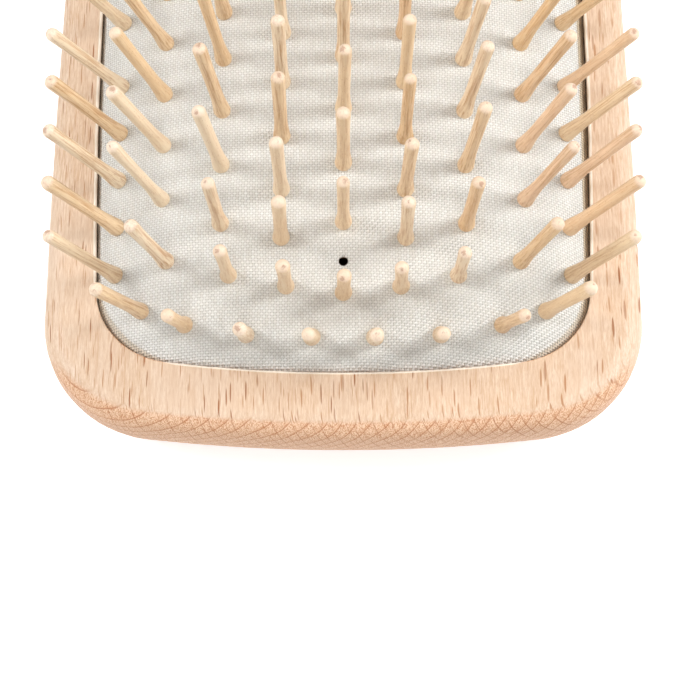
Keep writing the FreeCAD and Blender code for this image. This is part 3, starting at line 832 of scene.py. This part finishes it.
def canvas_weave():
    """Unbleached plain-weave canvas with round threads, slubs, and dark gaps between the threads, with
    painted shade in the gaps, on the thread flanks and along the edge.
    """
    n = Nodes("canvas_weave")
    place = n.attribute("cloth_place")
    drift = n.noise(n.vector(place, (0.22, 0.22, 0.0)), detail=2)
    u, v = n.split(place)[:2]
    u = n.plus(u, n.times(drift, 0.5))
    v = n.plus(v, n.times(n.noise(n.vector(place, (0.19, 0.25, 0.0)), detail=2), 0.5))
    warp_at, weft_at = n.ratio(u, THREAD_PITCH), n.ratio(v, THREAD_PITCH)
    warp_round = n.math("ABSOLUTE", n.math("SINE", n.times(warp_at, math.pi)))
    weft_round = n.math("ABSOLUTE", n.math("SINE", n.times(weft_at, math.pi)))
    odd = n.math("PINGPONG", n.plus(n.math("FLOOR", warp_at), n.math("FLOOR", weft_at)), 1.0)
    over = n.plus(n.times(n.minus(1.0, odd), n.math("POWER", weft_round, 0.6)),
                  n.times(odd, n.math("POWER", warp_round, 0.6)))
    gap = n.times(n.ramp(warp_round, 0.42, 0.05), n.ramp(weft_round, 0.42, 0.05))
    thread_u = n.noise(n.join(n.math("FLOOR", warp_at), n.times(v, 0.35), 0.0), detail=1)
    thread_v = n.noise(n.join(n.times(u, 0.35), n.math("FLOOR", weft_at), 7.0), detail=1)
    base = n.mix(n.ramp(thread_u, 0.3, 0.7), srgb(247, 248, 245), srgb(238, 237, 232))
    base = n.mix(n.times(n.ramp(thread_v, 0.35, 0.75), 0.5), base, srgb(250, 249, 246))
    base = n.mix(n.times(odd, 0.30), base, srgb(200, 198, 191))
    # The flanks of the threads are painted darker as shade. The gaps are darker still: the rubber showing
    # through, darkened further by painted shade.
    base = n.mix(n.ramp(over, 0.25, 0.95, 0.45, 0.0), base, srgb(186, 180, 168))
    base = n.mix(gap, base, srgb(98, 88, 74))
    wear = n.noise(n.vector(place, (0.07, 0.07, 0.0)), detail=3)
    base = n.mix(n.times(n.ramp(wear, 0.35, 0.7), 0.15), base, srgb(232, 229, 221))
    # The band along the canvas's edge, wider on the right, is painted shade: dark brown like cloth shaded by
    # the rim and tinted by light thrown off the wood.
    inside, sideways = n.split(n.attribute("cloth_edge"))[:2]
    right = n.ramp(sideways, 0.915, 0.985)
    ragged = n.plus(inside, n.times(n.minus(over, 0.5), 0.30))
    width = n.plus(0.22, n.times(right, 0.95))
    edge = n.ramp(n.minus(ragged, width), 0.22, -0.16)
    edge_shade_color = n.mix(n.ramp(over, 0.35, 0.85), srgb(96, 76, 50), srgb(206, 184, 146))
    base = n.mix(n.times(edge, n.plus(0.50, n.times(right, 0.30))), base, edge_shade_color)
    bump = n.bump(n.minus(over, n.times(gap, 0.8)), 0.00014, 1.0)
    return n.finish(base, n.ramp(over, 0.0, 1.0, 0.95, 0.86), bump, Specular_IOR_Level=0.15,
                    Sheen_Weight=0.15, Sheen_Roughness=0.5)


def rubber_skin():
    n = Nodes("rubber_skin")
    mm = n.vector(n.add("ShaderNodeTexCoord").outputs["Object"], (1000, 1000, 1000))
    cloud = n.noise(mm, scale=0.35, detail=4)
    grit = n.noise(mm, scale=6.0, detail=3)
    color = n.mix(n.ramp(cloud, 0.3, 0.7), srgb(176, 138, 96), srgb(150, 112, 74))
    color = n.mix(n.times(grit, 0.25), color, srgb(205, 172, 128))
    return n.finish(color, n.ramp(grit, 0.3, 0.7, 0.62, 0.8), n.bump(grit, 0.00005, 0.6))


def set_glue():
    n = Nodes("set_glue")
    mm = n.vector(n.add("ShaderNodeTexCoord").outputs["Object"], (1000, 1000, 1000))
    lumps = n.noise(mm, scale=0.9, detail=3)
    color = n.mix(n.ramp(lumps, 0.3, 0.7), srgb(222, 202, 150), srgb(196, 170, 116))
    return n.finish(color, n.ramp(lumps, 0.3, 0.7, 0.35, 0.6), n.bump(lumps, 0.0002, 0.6))


def dress_cad(frame, materials):
    """Give the pieces that stay as the CAD made them their materials."""
    for name, key in (("wooden_body", "beech"), ("cushion_adhesive", "adhesive")):
        mesh = frame["nodes"][name].data
        if not mesh.materials:
            mesh.materials.append(materials[key])
        for index in range(len(mesh.materials)):
            mesh.materials[index] = materials[key]


# ------------------------------------------------------------------ camera, light, floor

def stage_scene():
    scene = bpy.context.scene
    scene.view_settings.view_transform = "Standard"
    add_camera(scene)
    add_world(scene)
    for lamp in LAMPS:
        add_lamp(*lamp)
    add_floor()


def add_camera(scene):
    data = bpy.data.cameras.new("camera")
    data.lens = CAMERA_LENS
    data.sensor_width = 36.0
    camera = bpy.data.objects.new("camera", data)
    camera.location = CAMERA_PLACE
    camera.rotation_euler = (math.radians(90 - CAMERA_DOWN), 0, 0)
    scene.collection.objects.link(camera)
    scene.camera = camera


def add_world(scene):
    """A dim sky for the light, and a bright one wherever the camera or a reflection sees it."""
    world = bpy.data.worlds.new("studio")
    world.use_nodes = True
    tree = world.node_tree
    tree.nodes.clear()
    path = tree.nodes.new("ShaderNodeLightPath")
    seen = tree.nodes.new("ShaderNodeMath")
    seen.operation = "MAXIMUM"
    tree.links.new(path.outputs["Is Camera Ray"], seen.inputs[0])
    gloss = tree.nodes.new("ShaderNodeMath")
    gloss.operation = "MAXIMUM"
    tree.links.new(path.outputs["Is Glossy Ray"], gloss.inputs[0])
    tree.links.new(path.outputs["Is Transmission Ray"], gloss.inputs[1])
    tree.links.new(gloss.outputs[0], seen.inputs[1])
    strength = tree.nodes.new("ShaderNodeMapRange")
    tree.links.new(seen.outputs[0], strength.inputs[0])
    strength.inputs[3].default_value = WORLD_LIGHT
    strength.inputs[4].default_value = WORLD_SEEN
    light = tree.nodes.new("ShaderNodeBackground")
    light.inputs[0].default_value = (1, 1, 1, 1)
    tree.links.new(strength.outputs[0], light.inputs[1])
    out = tree.nodes.new("ShaderNodeOutputWorld")
    tree.links.new(light.outputs[0], out.inputs[0])
    scene.world = world


def add_lamp(name, place, target, size, power):
    data = bpy.data.lights.new(name, "AREA")
    data.size = size
    data.energy = power
    lamp = bpy.data.objects.new(name, data)
    lamp.location = place
    aim = Vector(target) - Vector(place)
    lamp.rotation_euler = aim.to_track_quat("-Z", "Y").to_euler()
    bpy.context.scene.collection.objects.link(lamp)


def add_floor():
    """A pale floor that glows only for the camera and reflections."""
    n = Nodes("pale_floor")
    tree = n.tree
    mm = n.vector(n.add("ShaderNodeTexCoord").outputs["Object"], (1000, 1000, 1000))
    grain = n.noise(mm, scale=0.02, detail=2)
    n.finish(n.mix(grain, (0.80, 0.80, 0.80, 1), (0.84, 0.84, 0.84, 1)), 0.9, Specular_IOR_Level=0.0)
    path = n.add("ShaderNodeLightPath")
    seen = n.math("MAXIMUM", path.outputs["Is Camera Ray"], n.math(
        "MAXIMUM", path.outputs["Is Glossy Ray"], path.outputs["Is Transmission Ray"]))
    glow = n.add("ShaderNodeEmission", {"Color": (1, 1, 1, 1), "Strength": n.times(seen, FLOOR_GLOW)})
    both = n.add("ShaderNodeAddShader")
    tree.links.new(n.shader.outputs[0], both.inputs[0])
    tree.links.new(glow.outputs[0], both.inputs[1])
    tree.links.new(both.outputs[0], tree.nodes["Material Output"].inputs["Surface"])
    half = 1.6
    floor = new_object("floor", [(-half, -half, 0), (half, -half, 0), (half, half, 0), (-half, half, 0)],
                       [(0, 1, 2, 3)], n.material, smooth=False)
    floor.location.z = -0.0002


main()
